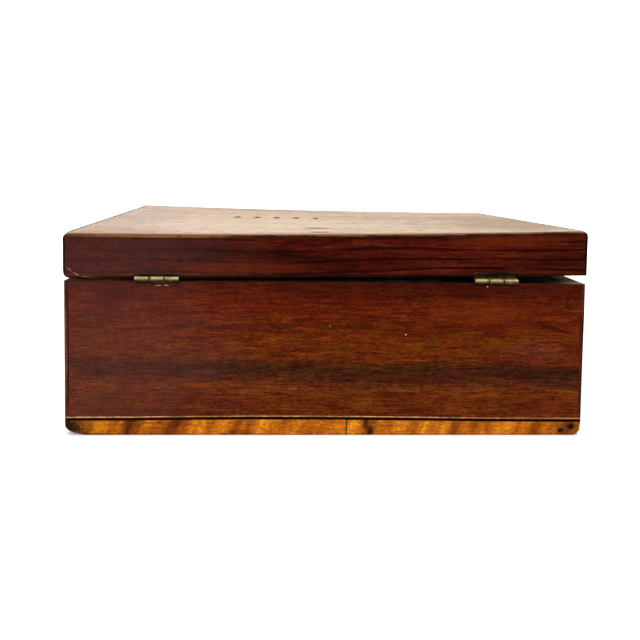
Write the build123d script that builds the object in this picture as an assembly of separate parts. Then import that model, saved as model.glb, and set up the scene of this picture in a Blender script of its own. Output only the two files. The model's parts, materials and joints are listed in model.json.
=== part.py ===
from build123d import *
import os

# Hinged document box of veneered wood, in millimetres.
# X runs to the right seen from the front, Y from front to back, Z up.
# The origin is the middle of the underside.

# Overall sizes
box_width = 370.0
box_depth = 256.0
body_height = 110.5
lid_height = 32.0
lid_overhang = 0.6

# The lid has warped: two opposite corners of it stand higher than the other two.
lid_gap = 3.6
lid_twist_height = 2.3

# Walls, veneers and lid board
wall_core = 11.0
veneer = 1.0
lid_board_thickness = 8.0
corner_string = 2.8
edge_string = 2.8
paper = 0.4
lid_lining_thickness = 1.0
glue_line = 0.05
overcut = 1.0

# Base: band of light wood with a black and a light string above it
band_height = 10.2
band_thickness = 3.0
band_joint_x = -14.8
ebony_height = 2.1
boxwood_height = 0.9
bottom_thickness = 8.0
bottom_lap = 5.0

# Dovetails at the corners of the body
tail_count = 4
tail_width = 12.0
tail_flare = 2.0
tail_margin = 16.0

# Brads that hold the bottom board
brad_radius = 0.9
brad_length = 20.0
brads_long_side = 4
brads_short_side = 3

# Butt hinges
hinge_inset = 65.2
hinge_length = 30.7
knuckle_radius = 2.0
leaf_thickness = 1.2
leaf_reach = 11.0
pin_radius = 1.1
pin_clearance = 0.05
axis_behind_face = 0.9
axis_above_rim = 1.5
middle_knuckle_start = 0.3
middle_knuckle_end = 0.7
knuckle_gap = 0.15
knuckle_room = 0.3
crank_run = 3.0
leaf_seat = 0.5
seat_clearance = 0.05
leaf_end_clearance = 0.15
notch_below = 0.4
notch_above = 2.3

# Screws
screw_head_radius = 1.9
screw_shank_radius = 1.0
screw_head_height = 0.9
screw_slot_width = 0.5
screw_slot_depth = 0.4
hole_clearance = 0.05
hinge_screw_length = 9.0
hinge_screw_pitch = 10.5
screw_margin = 0.6
screw_point_ratio = 3.0
lock_screw_length = 8.0

# Lock
plate_half_width = 31.0
plate_height = 34.0
plate_thickness = 1.6
selvedge_width = 10.0
selvedge_thickness = 2.0
pocket_shoulder = 6.5
pocket_depth = 9.0
pocket_height = 31.0
lock_screw_inset = 3.0
lock_screw_top = 7.0
lock_screw_bottom = 5.5
link_inset = 12.5
link_thickness = 2.5
link_bar = 1.4
link_eye_width = 3.0
link_eye_height = 4.0
link_drop = 9.6
link_out = 2.7
slot_clearance = 0.5
bolt_travel = 6.0
bolt_clearance = 0.1
bolt_bar_top = 12.5
bolt_bar_height = 7.0
bolt_arm = 3.5
finger_thickness = 2.2
finger_height = 2.8
finger_lead = 0.75
guide_radius = 1.05
guide_offset = 0.3
guide_below_bar_top = 2.8
bolt_end = 2.0
talon_depth = 2.4
spring_thickness = 0.6
spring_width = 3.0
spring_length = 9.0
cap_thickness = 1.0
cap_inset = 3.5
cap_bottom = 30.0
pillar_inset = 3.5
key_post_radius = 1.2
key_post_drop = 24.0
keyhole_radius = 2.9
keyhole_slot_width = 2.8
keyhole_length = 8.5
escutcheon_rim = 1.2
escutcheon_depth = 2.4
escutcheon_proud = 0.3
link_screw_inset = 9.0
link_screw_length = 9.0

# Worked out from the sizes above
pocket_half_width = plate_half_width - pocket_shoulder
lock_screw_x = plate_half_width - lock_screw_inset
link_screw_x = plate_half_width - link_screw_inset
cap_half_width = pocket_half_width - cap_inset
link_x = pocket_half_width - link_inset
wall = wall_core + veneer
half_width = box_width / 2
half_depth = box_depth / 2
core_half_width = half_width - veneer
core_half_depth = half_depth - veneer
inner_half_width = half_width - wall
inner_half_depth = half_depth - wall
lid_half_width = half_width + lid_overhang
lid_half_depth = half_depth + lid_overhang
strings_top = band_height + ebony_height + boxwood_height
rail_height = lid_height - lid_board_thickness - veneer
axis_y = half_depth + axis_behind_face
axis_z = body_height + axis_above_rim
body_leaf_crank = max(0.0, axis_above_rim + leaf_thickness - knuckle_radius)
screw_line = leaf_reach - screw_head_radius - screw_margin
tail_zone = body_height - 2 * tail_margin
tail_pitch = tail_zone / tail_count

SIDES = ("front", "rear", "left", "right")


def block(x0, x1, y0, y1, z0, z1):
    """Box between two corners."""
    return Pos((x0 + x1) / 2, (y0 + y1) / 2, (z0 + z1) / 2) * Box(x1 - x0, y1 - y0, z1 - z0)


def side_plan(side, half_x, half_y, thickness):
    """Four points of the plan of a mitred strip along one side of a rectangle."""
    inner_x = half_x - thickness
    inner_y = half_y - thickness
    corners = {
        "front": (-half_x, -half_y, -inner_x, -inner_y, half_x, -half_y, inner_x, -inner_y),
        "rear": (-half_x, half_y, -inner_x, inner_y, half_x, half_y, inner_x, inner_y),
        "left": (-half_x, -half_y, -inner_x, -inner_y, -half_x, half_y, -inner_x, inner_y),
        "right": (half_x, -half_y, inner_x, -inner_y, half_x, half_y, inner_x, inner_y),
    }
    ax, ay, bx, by, dx, dy, cx, cy = corners[side]
    return ((ax, ay), (bx, by), (cx, cy), (dx, dy))


def rectangle_plan(x0, x1, y0, y1):
    """Four points of a rectangle's plan, its first side at the lower x."""
    return ((x0, y0), (x0, y1), (x1, y1), (x1, y0))


def framed_plans(half_x, half_y, thickness):
    """Plans of four strips round a rectangle: front and rear run through, the ends fit between."""
    inner_x = half_x - thickness
    inner_y = half_y - thickness
    end_y = inner_y - glue_line
    return {
        "front": rectangle_plan(-half_x, half_x, -half_y, -inner_y),
        "rear": rectangle_plan(-half_x, half_x, inner_y, half_y),
        "left": rectangle_plan(-half_x, -inner_x, -end_y, end_y),
        "right": rectangle_plan(inner_x, half_x, -end_y, end_y),
    }


def flat_strip(plan, z0, z1):
    """Upright strip with the given plan between two heights."""
    outline = Polyline([(x, y, z0) for x, y in plan], close=True)
    return extrude(make_face(outline), amount=z1 - z0, dir=(0, 0, 1))


def lid_lift(x, y):
    """Height of the lid's underside above the rim at a point of its plan."""
    return lid_gap - lid_twist_height * (x / half_width) * (y / half_depth)


def lid_strip(plan, z0, z1):
    """Strip of the warped lid; z0 and z1 are heights above the lid's underside."""

    def end_face(p, q):
        points = []
        for (x, y), z in ((p, z0), (q, z0), (q, z1), (p, z1)):
            points.append((x, y, body_height + lid_lift(x, y) + z))
        return make_face(Polyline(points, close=True))

    a, b, c, d = plan
    return loft([end_face(a, b), end_face(d, c)], ruled=True)


def screw(length):
    """Slotted countersunk screw, its head's face at the origin and its point down."""
    head = Pos(0, 0, -screw_head_height / 2) * Cone(
        screw_shank_radius, screw_head_radius, screw_head_height
    )
    point_length = screw_point_ratio * screw_shank_radius
    shank_length = length - screw_head_height - point_length
    shank = Pos(0, 0, -screw_head_height - shank_length / 2) * Cylinder(
        screw_shank_radius, shank_length
    )
    point = Pos(0, 0, -length + point_length / 2) * Cone(
        screw_shank_radius / 4, screw_shank_radius, point_length
    )
    slot = Box(2 * screw_head_radius, screw_slot_width, 2 * screw_slot_depth)
    return head + shank + point - slot


def screw_hole(length):
    """Room for a screw, a little larger than the screw all round."""
    head = Pos(0, 0, -screw_head_height / 2) * Cone(
        screw_shank_radius + hole_clearance,
        screw_head_radius + hole_clearance,
        screw_head_height,
    )
    shank_depth = length + hole_clearance
    shank = Pos(0, 0, -shank_depth / 2) * Cylinder(
        screw_shank_radius + hole_clearance, shank_depth
    )
    return head + shank


def placed(shape, places):
    """Copies of a shape at each place, as separate solids."""
    return [place * shape for place in places]


def export(shape, name):
    """Writes one node; a list of shapes is written as a group of separate solids."""
    if isinstance(shape, list):
        solids = [solid for item in shape for solid in item.solids()]
        shape = Compound(children=solids)
    elif len(shape.solids()) == 1:
        shape = shape.solids()[0]
    export_step(shape, f"parts/{name}.step")


# Hinges, in a frame with the pin's centre at the origin and +Y out of the back


def knuckle_spans():
    """Start and end of the three knuckles along the hinge."""
    start = -hinge_length / 2
    first = start + middle_knuckle_start * hinge_length
    second = start + middle_knuckle_end * hinge_length
    half = knuckle_gap / 2
    return (start, first - half), (first + half, second - half), (second + half, -start)


def hinge_leaf(side, spans, other_spans, crank):
    """Leaf with its knuckles: side is -1 under the pin, on the body, and 1 above it."""
    inner = side * (knuckle_radius - leaf_thickness)
    outer = side * knuckle_radius
    step = side * crank
    bend = -(knuckle_radius + knuckle_room)
    flat = bend - crank_run
    profile = Polyline(
        [
            (0, 0, inner),
            (0, bend, inner),
            (0, flat, inner + step),
            (0, -leaf_reach, inner + step),
            (0, -leaf_reach, outer + step),
            (0, flat, outer + step),
            (0, bend, outer),
            (0, 0, outer),
        ],
        close=True,
    )
    leaf = Pos(-hinge_length / 2, 0, 0) * extrude(
        make_face(profile), amount=hinge_length, dir=(1, 0, 0)
    )
    bore = Rot(0, 90, 0) * Cylinder(pin_radius + pin_clearance, 2 * hinge_length)
    for x0, x1 in spans:
        leaf += Pos((x0 + x1) / 2, 0, 0) * Rot(0, 90, 0) * Cylinder(knuckle_radius, x1 - x0)
    for x0, x1 in other_spans:
        leaf -= block(
            x0 - knuckle_gap,
            x1 + knuckle_gap,
            bend,
            2 * knuckle_radius,
            -2 * knuckle_radius,
            2 * knuckle_radius,
        )
    leaf -= bore
    for place in leaf_screw_places(side, crank):
        leaf -= place * screw_hole(hinge_screw_length)
    return leaf


def leaf_screw_places(side, crank):
    """Places of a leaf's screws: they point down in the body and up in the lid."""
    face = side * (knuckle_radius - leaf_thickness + crank)
    turn = Rot(0, 0, 0) if side < 0 else Rot(180, 0, 0)
    return [
        Pos(n * hinge_screw_pitch, -screw_line, face) * turn for n in (-1, 0, 1)
    ]


def lid_leaf_crank(x):
    """Step of the lid's leaf that carries it up to its seat in the warped rail."""
    seat = lid_lift(x, half_depth) + leaf_seat
    return max(0.0, seat - axis_above_rim - knuckle_radius)


def body_barrel_room():
    """How far below the axis the rim is cut for the barrel."""
    return knuckle_radius + body_leaf_crank + notch_below


def lid_barrel_room(x):
    """How far above the axis the lid is cut for the barrel, measured from its warped underside."""
    return lid_lift(x, half_depth) + notch_above - axis_above_rim


def hinge_cutter(side, crank, barrel_room):
    """Room for a leaf and the barrel, cut into the rim or into the lid's rail."""
    half = hinge_length / 2 + leaf_end_clearance
    reach = leaf_reach + leaf_end_clearance
    seat = knuckle_radius + crank + seat_clearance
    far = 4 * knuckle_radius
    leaf_room = block(-half, half, -reach, far, -far, seat)
    notch = block(-half, half, -knuckle_radius - knuckle_room, far, -far, barrel_room)
    cutter = leaf_room + notch
    if side < 0:
        cutter = Rot(0, 180, 0) * cutter
    for place in leaf_screw_places(side, crank):
        cutter += place * screw_hole(hinge_screw_length)
    return cutter


def hinge_place(x):
    """Where a hinge sits on the box."""
    return Pos(x, axis_y, axis_z)


hinges = {"left": hinge_inset - half_width, "right": half_width - hinge_inset}


# Lock, in distances outward from the front wall's inner face and down from the rim


def lock_block(x0, x1, out0, out1, down0, down1):
    """Box in the lock's own measures."""
    return block(
        x0,
        x1,
        -inner_half_depth - out1,
        -inner_half_depth - out0,
        body_height - down1,
        body_height - down0,
    )


def lock_pin(x, down, out0, out1, radius):
    """Round pin across the front wall."""
    place = Pos(x, -inner_half_depth - (out0 + out1) / 2, body_height - down)
    return place * Rot(90, 0, 0) * Cylinder(radius, out1 - out0)


def keyhole(grow, out0, out1):
    """Keyhole-shaped bar across the front wall, grown by a rim."""
    hole = lock_pin(0, key_post_drop, out0, out1, keyhole_radius + grow)
    half = keyhole_slot_width / 2 + grow
    end = key_post_drop + keyhole_length + grow - half
    hole += lock_block(-half, half, out0, out1, key_post_drop, end)
    return hole + lock_pin(0, end, out0, out1, half)


bolt_out0 = plate_thickness + bolt_clearance
finger_out0 = link_out + link_bar + (link_eye_width - finger_thickness) / 2
bolt_out1 = finger_out0 + finger_thickness
finger_down0 = link_drop - link_bar - (link_eye_height + finger_height) / 2
arm_right = {x: x - link_thickness / 2 - bolt_travel - slot_clearance for x in (-link_x, link_x)}
bolt_bar_bottom = bolt_bar_top + bolt_bar_height
guide_x = link_x + guide_radius + guide_offset
guide_drop = bolt_bar_top + guide_below_bar_top
bolt_right = guide_x + guide_radius + bolt_end
cap_out0 = bolt_out1 + bolt_clearance
cap_top = link_drop + link_bar
lock_screw_drops = (lock_screw_top, plate_height - lock_screw_bottom)
pillar_x = cap_half_width - pillar_inset
pillar_drop = cap_bottom - pillar_inset


def make_lock_plate():
    """Back plate and selvedge of the lock, with slots for the links."""
    plate = lock_block(-plate_half_width, plate_half_width, 0, plate_thickness, 0, plate_height)
    plate += lock_block(
        -plate_half_width, plate_half_width, 0, selvedge_width, 0, selvedge_thickness
    )
    link_width = link_eye_width + 2 * link_bar
    for x in (-link_x, link_x):
        half = link_thickness / 2 + slot_clearance
        plate -= lock_block(
            x - half,
            x + half,
            link_out - slot_clearance,
            link_out + link_width + slot_clearance,
            -overcut,
            selvedge_thickness + overcut,
        )
    for place in lock_screw_places():
        plate -= place * screw_hole(lock_screw_length)
    return plate


def lock_screw_places():
    """The lock's screws point outward from its back plate."""
    places = []
    for x in (-lock_screw_x, lock_screw_x):
        for down in lock_screw_drops:
            places.append(Pos(x, -inner_half_depth, body_height - down) * Rot(-90, 0, 0))
    return places


def make_lock_bolt():
    """Sliding bolt: a bar with two arms, a finger on each, and a talon for the key."""
    arm_left = arm_right[-link_x] - bolt_arm
    bolt = lock_block(arm_left, bolt_right, bolt_out0, bolt_out1, bolt_bar_top, bolt_bar_bottom)
    for x in (-link_x, link_x):
        right = arm_right[x]
        tip = x - link_thickness / 2 - finger_lead
        bolt += lock_block(
            right - bolt_arm, right, bolt_out0, bolt_out1, finger_down0, bolt_bar_top
        )
        bolt += lock_block(
            right, tip, finger_out0, bolt_out1, finger_down0, finger_down0 + finger_height
        )
    talon_top = bolt_bar_bottom - talon_depth
    bolt -= lock_block(-bolt_travel, 0, 0, 2 * bolt_out1, talon_top, bolt_bar_bottom + overcut)
    slot_half = guide_radius + bolt_clearance
    slot_left = guide_x - bolt_travel
    bolt -= lock_block(
        slot_left, guide_x, 0, 2 * bolt_out1, guide_drop - slot_half, guide_drop + slot_half
    )
    for x in (slot_left, guide_x):
        bolt -= lock_pin(x, guide_drop, 0, 2 * bolt_out1, slot_half)
    return bolt


def make_bolt_spring():
    """Bowed leaf on the bolt's second arm that rubs under the selvedge."""
    root_x = arm_right[link_x] - bolt_arm
    middle = (bolt_out0 + bolt_out1) / 2
    y = -inner_half_depth - middle
    low = body_height - finger_down0 - finger_height
    high = body_height - selvedge_thickness - bolt_clearance
    tip_x = root_x - spring_length
    bow_x = tip_x + spring_length / 3
    lower = ThreePointArc(
        (root_x, y, low),
        (bow_x, y, high - spring_thickness),
        (tip_x, y, high - 2 * spring_thickness),
    )
    upper = ThreePointArc(
        (root_x, y, low + spring_thickness),
        (bow_x, y, high),
        (tip_x, y, high - spring_thickness),
    )
    ends = [Line(lower @ 0, upper @ 0), Line(lower @ 1, upper @ 1)]
    face = make_face([lower, upper] + ends)
    return extrude(face, amount=spring_width / 2, dir=(0, 1, 0), both=True)


def make_lock_cap():
    """Plate that closes the lock's works, with the keyhole in it."""
    cap = lock_block(
        -cap_half_width, cap_half_width, cap_out0, cap_out0 + cap_thickness, cap_top, cap_bottom
    )
    return cap - keyhole(0, cap_out0 - overcut, cap_out0 + cap_thickness + overcut)


def make_lock_pillars():
    """The bolt's guide pin and two pillars, all from the back plate to the cap."""
    pillars = [lock_pin(guide_x, guide_drop, plate_thickness, cap_out0, guide_radius)]
    for x in (-pillar_x, pillar_x):
        pillars.append(lock_pin(x, pillar_drop, plate_thickness, cap_out0, guide_radius))
    return pillars


def make_link_plate():
    """Plate under the lid's front rail with two eyes that drop into the lock."""
    z0 = body_height + lid_gap
    out1 = selvedge_width - lid_overhang
    front = -inner_half_depth - out1
    back = -inner_half_depth - 2 * lid_overhang
    plate = block(-plate_half_width, plate_half_width, front, back, z0, z0 + plate_thickness)
    width = link_eye_width + 2 * link_bar
    eye_bottom = link_drop - link_bar
    for x in (-link_x, link_x):
        half = link_thickness / 2
        plate += lock_block(x - half, x + half, link_out, link_out + width, -lid_gap, link_drop)
        plate -= lock_block(
            x - link_thickness,
            x + link_thickness,
            link_out + link_bar,
            link_out + link_bar + link_eye_width,
            eye_bottom - link_eye_height,
            eye_bottom,
        )
    for place in link_screw_places():
        plate -= place * screw_hole(link_screw_length)
    return plate


def link_screw_places():
    """The link plate's screws point up into the lid's rail."""
    y = -inner_half_depth - selvedge_width / 2 - lid_overhang / 2
    return [
        Pos(x, y, body_height + lid_gap) * Rot(180, 0, 0) for x in (-link_screw_x, link_screw_x)
    ]


def link_plate_room():
    """Recess for the link plate and its screws in the lid's front rail."""
    z0 = body_height + lid_gap
    front = -inner_half_depth - selvedge_width + lid_overhang
    back = -inner_half_depth + overcut
    half = plate_half_width + glue_line
    room = block(-half, half, front - glue_line, back, z0 - 2 * lid_twist_height, z0 + plate_thickness)
    for place in link_screw_places():
        room += place * screw_hole(link_screw_length)
    return room


def lock_room():
    """Everything cut out of the front wall for the lock."""
    rooms = (
        (plate_half_width, plate_thickness, plate_height),
        (plate_half_width, selvedge_width, selvedge_thickness),
        (pocket_half_width, pocket_depth, pocket_height),
    )
    room = None
    for half, out, down in rooms:
        part_room = lock_block(-half, half, -overcut, out, -overcut, down)
        room = part_room if room is None else room + part_room
    for place in lock_screw_places():
        room += place * screw_hole(lock_screw_length)
    return room


# Carcass


def tails(side):
    """Dovetails at both ends of the left or right wall."""
    x0 = -core_half_width if side == "left" else inner_half_width
    found = []
    for n in range(tail_count):
        middle = tail_margin + (n + 0.5) * tail_pitch
        for end in (-1, 1):
            root = end * inner_half_depth
            tip = end * core_half_depth
            narrow = tail_width / 2
            wide = narrow + tail_flare
            outline = Polyline(
                [
                    (x0, root, middle - narrow),
                    (x0, tip, middle - wide),
                    (x0, tip, middle + wide),
                    (x0, root, middle + narrow),
                ],
                close=True,
            )
            found.append(extrude(make_face(outline), amount=wall_core, dir=(1, 0, 0)))
    return found


def outside_rebates():
    """What the band, the strings and the corner strings take out of the cores."""
    cut = []
    reach = 2 * band_thickness
    for side in SIDES:
        plan = side_plan(side, half_width + reach, half_depth + reach, reach + band_thickness)
        cut.append(flat_strip(plan, -overcut, band_height))
    for x in (-1, 1):
        for y in (-1, 1):
            size = corner_string + glue_line
            cut.append(corner_square(x, y, size, strings_top, body_height + overcut))
    return cut


def corner_square(x, y, size, z0, z1):
    """Square bar in one of the box's four upright corners."""
    xs = sorted((x * half_width, x * (half_width - size)))
    ys = sorted((y * half_depth, y * (half_depth - size)))
    return block(*xs, *ys, z0, z1)


def make_bottom_board():
    """Bottom board, let into a rebate under the walls."""
    half_x = inner_half_width + bottom_lap
    half_y = inner_half_depth + bottom_lap
    board = block(-half_x, half_x, -half_y, half_y, 0, bottom_thickness)
    for place in brad_places():
        board -= place * brad_hole()
    return board


def brad_places():
    """Brads in two long and two short rows, half way under the walls' inner edges."""
    row_x = inner_half_width + bottom_lap / 2
    row_y = inner_half_depth + bottom_lap / 2
    places = []
    for n in range(brads_long_side):
        x = (2 * (n + 0.5) / brads_long_side - 1) * inner_half_width
        places += [Pos(x, -row_y, 0), Pos(x, row_y, 0)]
    for n in range(brads_short_side):
        y = (2 * (n + 0.5) / brads_short_side - 1) * inner_half_depth
        places += [Pos(-row_x, y, 0), Pos(row_x, y, 0)]
    return places


def brad():
    """Headless brad that stands on the underside and points up."""
    return Pos(0, 0, brad_length / 2) * Cylinder(brad_radius, brad_length)


def brad_hole():
    """Room for a brad, open at the underside."""
    depth = brad_length + hole_clearance
    return Pos(0, 0, depth / 2) * Cylinder(brad_radius + hole_clearance, depth)


def make_walls():
    """Four cores of the body: the end walls' tails pass through the other two."""
    rebates = outside_rebates()
    floor_room = block(
        -inner_half_width - bottom_lap,
        inner_half_width + bottom_lap,
        -inner_half_depth - bottom_lap,
        inner_half_depth + bottom_lap,
        -overcut,
        bottom_thickness,
    )
    holes = placed(brad_hole(), brad_places())
    walls = {}
    for side, x0, x1 in (
        ("left", -core_half_width, -inner_half_width),
        ("right", inner_half_width, core_half_width),
    ):
        wall_block = block(x0, x1, -inner_half_depth, inner_half_depth, 0, body_height)
        for tail in tails(side):
            wall_block += tail
        walls[side] = wall_block
    for side, y0, y1 in (
        ("front", -core_half_depth, -inner_half_depth),
        ("rear", inner_half_depth, core_half_depth),
    ):
        wall_block = block(-core_half_width, core_half_width, y0, y1, 0, body_height)
        for tail in tails("left") + tails("right"):
            wall_block -= tail
        walls[side] = wall_block
    for side in SIDES:
        walls[side] -= floor_room
        for cut in rebates + holes:
            walls[side] -= cut
    walls["front"] -= lock_room()
    walls["front"] -= keyhole(0, 0, wall + overcut)
    walls["front"] -= keyhole(escutcheon_rim, wall - escutcheon_depth, wall + overcut)
    for x in hinges.values():
        walls["rear"] -= hinge_place(x) * hinge_cutter(-1, body_leaf_crank, body_barrel_room())
    return walls


def make_body_veneers():
    """Four face veneers between the corner strings, above the strings of the base."""
    span_x = half_width - corner_string
    span_y = half_depth - corner_string
    faces = {
        "front": (-span_x, span_x, -half_depth, -core_half_depth),
        "rear": (-span_x, span_x, core_half_depth, half_depth),
        "left": (-half_width, -core_half_width, -span_y, span_y),
        "right": (core_half_width, half_width, -span_y, span_y),
    }
    veneers = {}
    for side, (x0, x1, y0, y1) in faces.items():
        veneers[side] = block(x0, x1, y0, y1, strings_top, body_height)
    veneers["front"] -= keyhole(escutcheon_rim, wall - escutcheon_depth, wall + overcut)
    for x in hinges.values():
        veneers["rear"] -= hinge_place(x) * hinge_cutter(-1, body_leaf_crank, body_barrel_room())
    return veneers


def make_base_strings():
    """Black string over the band, and the light string over the black one."""
    ebony_top = band_height + ebony_height
    ebony = {}
    boxwood = []
    for side in SIDES:
        plan = side_plan(side, half_width, half_depth, veneer)
        ebony[side] = flat_strip(plan, band_height, ebony_top)
        boxwood.append(flat_strip(plan, ebony_top, strings_top))
    return ebony, boxwood


def make_base_bands():
    """Solid strips round the foot of the box; the rear one is in two lengths."""
    bands = {}
    for side in SIDES:
        plan = side_plan(side, half_width, half_depth, band_thickness)
        bands[side] = flat_strip(plan, 0, band_height)
    rear = bands.pop("rear")
    left_part = block(-box_width, band_joint_x, 0, box_depth, -overcut, body_height)
    bands["rear_left"] = rear & left_part
    bands["rear_right"] = rear - left_part
    return bands


def make_wall_lining():
    """Paper on the inside of the four walls, cut out round the lock."""
    top = body_height - corner_string
    sheets = []
    for side in SIDES:
        plan = side_plan(side, inner_half_width, inner_half_depth, paper)
        sheet = flat_strip(plan, bottom_thickness + paper, top)
        if side == "front":
            half = plate_half_width + seat_clearance
            bottom = plate_height + seat_clearance
            sheet -= lock_block(-half, half, -overcut, overcut, -overcut, bottom)
        sheets.append(sheet)
    return sheets


def make_escutcheon():
    """Keyhole liner let into the front."""
    out0 = wall - escutcheon_depth
    out1 = wall + escutcheon_proud
    return keyhole(escutcheon_rim, out0, out1) - keyhole(0, out0 - overcut, out1 + overcut)


# Lid


def make_lid_rails():
    """Four rails under the board, with room for the link plate and the hinges."""
    plans = framed_plans(lid_half_width - veneer, lid_half_depth - veneer, wall_core)
    rails = {}
    for side, plan in plans.items():
        rails[side] = lid_strip(plan, 0, rail_height - glue_line)
    rails["front"] -= link_plate_room()
    for x in hinges.values():
        rails["rear"] -= hinge_place(x) * hinge_cutter(1, lid_leaf_crank(x), lid_barrel_room(x))
    return rails


def make_lid_board():
    """Board over the rails, rebated for the strings on its upper edges."""
    half_x = lid_half_width - veneer
    half_y = lid_half_depth - veneer
    top = rail_height + lid_board_thickness
    shoulder = lid_height - edge_string - glue_line
    step_x = lid_half_width - edge_string - glue_line
    step_y = lid_half_depth - edge_string - glue_line
    lower = lid_strip(rectangle_plan(-half_x, half_x, -half_y, half_y), rail_height, shoulder)
    upper = lid_strip(rectangle_plan(-step_x, step_x, -step_y, step_y), shoulder, top - glue_line)
    return lower + upper


def make_lid_side_veneers():
    """Veneers on the lid's four sides."""
    plans = framed_plans(lid_half_width, lid_half_depth, veneer - glue_line)
    veneers = {}
    for side, plan in plans.items():
        veneers[side] = lid_strip(plan, 0, lid_height - edge_string - glue_line)
    for x in hinges.values():
        veneers["rear"] -= hinge_place(x) * hinge_cutter(1, lid_leaf_crank(x), lid_barrel_room(x))
    return veneers


def make_lid_edge_strings():
    """Square strings on the lid's upper edges."""
    plans = framed_plans(lid_half_width, lid_half_depth, edge_string)
    strings = {}
    for side, plan in plans.items():
        strings[side] = lid_strip(plan, lid_height - edge_string, lid_height)
    return strings


def make_lid_top_veneer():
    """Top veneer between the edge strings."""
    half_x = lid_half_width - edge_string - glue_line
    half_y = lid_half_depth - edge_string - glue_line
    plan = rectangle_plan(-half_x, half_x, -half_y, half_y)
    return lid_strip(plan, lid_height - veneer, lid_height)


def make_lid_lining():
    """Papered card under the lid board, between the rails."""
    half_x = lid_half_width - wall - glue_line
    half_y = lid_half_depth - wall - glue_line
    plan = rectangle_plan(-half_x, half_x, -half_y, half_y)
    return lid_strip(plan, rail_height - lid_lining_thickness, rail_height - glue_line)


def make_hinges():
    """Leaves of both hinges, their pins and their screws."""
    first, middle, last = knuckle_spans()
    nodes = {}
    pins = []
    body_screws = []
    lid_screws = []
    for name, x in hinges.items():
        place = hinge_place(x)
        crank = lid_leaf_crank(x)
        nodes[f"{name}_hinge_body_leaf"] = place * hinge_leaf(
            -1, (middle,), (first, last), body_leaf_crank
        )
        nodes[f"{name}_hinge_lid_leaf"] = place * hinge_leaf(1, (first, last), (middle,), crank)
        pins.append(place * Rot(0, 90, 0) * Cylinder(pin_radius, hinge_length))
        body_screws += placed(screw(hinge_screw_length), leaf_places(place, -1, body_leaf_crank))
        lid_screws += placed(screw(hinge_screw_length), leaf_places(place, 1, crank))
    nodes["hinge_pins"] = pins
    nodes["hinge_body_screws"] = body_screws
    nodes["hinge_lid_screws"] = lid_screws
    return nodes


def leaf_places(place, side, crank):
    """Places of a leaf's screws on the box."""
    return [place * screw_place for screw_place in leaf_screw_places(side, crank)]


def make_all():
    """Every node of the box by name."""
    nodes = {"bottom_board": make_bottom_board()}
    for side, shape in make_walls().items():
        nodes[f"{side}_wall"] = shape
    for side, shape in make_body_veneers().items():
        nodes[f"{side}_veneer"] = shape
    for y, front_or_rear in ((-1, "front"), (1, "rear")):
        for x, side in ((-1, "left"), (1, "right")):
            bar = corner_square(x, y, corner_string, strings_top, body_height)
            nodes[f"corner_string_{front_or_rear}_{side}"] = bar
    for side, shape in make_base_bands().items():
        nodes[f"base_band_{side}"] = shape
    ebony, boxwood = make_base_strings()
    for side, shape in ebony.items():
        nodes[f"ebony_string_{side}"] = shape
    nodes["boxwood_strings"] = boxwood
    nodes["bottom_brads"] = placed(brad(), brad_places())
    nodes["floor_lining"] = block(
        -inner_half_width,
        inner_half_width,
        -inner_half_depth,
        inner_half_depth,
        bottom_thickness,
        bottom_thickness + paper,
    )
    nodes["wall_lining"] = make_wall_lining()
    nodes.update(make_hinges())
    nodes["lock_plate"] = make_lock_plate()
    nodes["lock_cap"] = make_lock_cap()
    nodes["lock_pillars"] = make_lock_pillars()
    nodes["lock_key_post"] = lock_pin(
        0, key_post_drop, plate_thickness, pocket_depth - glue_line, key_post_radius
    )
    nodes["lock_screws"] = placed(screw(lock_screw_length), lock_screw_places())
    nodes["lock_bolt"] = make_lock_bolt()
    nodes["lock_bolt_spring"] = make_bolt_spring()
    nodes["keyhole_escutcheon"] = make_escutcheon()
    nodes["lid_board"] = make_lid_board()
    for side, shape in make_lid_rails().items():
        nodes[f"lid_{side}_rail"] = shape
    for side, shape in make_lid_side_veneers().items():
        nodes[f"lid_{side}_veneer"] = shape
    for side, shape in make_lid_edge_strings().items():
        nodes[f"lid_edge_string_{side}"] = shape
    nodes["lid_top_veneer"] = make_lid_top_veneer()
    nodes["lid_lining"] = make_lid_lining()
    nodes["link_plate"] = make_link_plate()
    nodes["link_plate_screws"] = placed(screw(link_screw_length), link_screw_places())
    return nodes


os.makedirs("parts", exist_ok=True)
for node_name, node_shape in make_all().items():
    export(node_shape, node_name)
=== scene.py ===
import json
import math

import bmesh
import bpy
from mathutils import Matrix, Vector


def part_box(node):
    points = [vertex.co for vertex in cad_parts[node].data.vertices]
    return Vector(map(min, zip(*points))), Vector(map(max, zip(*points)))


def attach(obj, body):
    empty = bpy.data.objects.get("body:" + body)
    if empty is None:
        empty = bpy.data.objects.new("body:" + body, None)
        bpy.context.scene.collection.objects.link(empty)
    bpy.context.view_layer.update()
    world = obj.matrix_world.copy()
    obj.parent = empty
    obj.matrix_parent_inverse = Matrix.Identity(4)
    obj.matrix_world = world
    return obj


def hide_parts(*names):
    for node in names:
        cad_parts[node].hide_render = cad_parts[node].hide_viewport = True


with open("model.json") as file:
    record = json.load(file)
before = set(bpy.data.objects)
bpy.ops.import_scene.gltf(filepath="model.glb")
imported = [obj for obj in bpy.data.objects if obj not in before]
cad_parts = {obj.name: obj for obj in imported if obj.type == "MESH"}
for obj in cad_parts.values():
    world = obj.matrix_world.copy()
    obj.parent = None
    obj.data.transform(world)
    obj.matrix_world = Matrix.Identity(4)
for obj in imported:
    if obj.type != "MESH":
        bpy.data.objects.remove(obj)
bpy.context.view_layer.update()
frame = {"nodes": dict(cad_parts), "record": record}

print("frame loaded:", len(frame["nodes"]), "nodes")

# Antique document box seen from behind. Metres, +X right seen from the lock side, +Y to the hinge side, +Z up.

mm = 0.001
sideNames = ("front", "rear", "left", "right")
hingeSides = ("left", "right")

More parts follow.
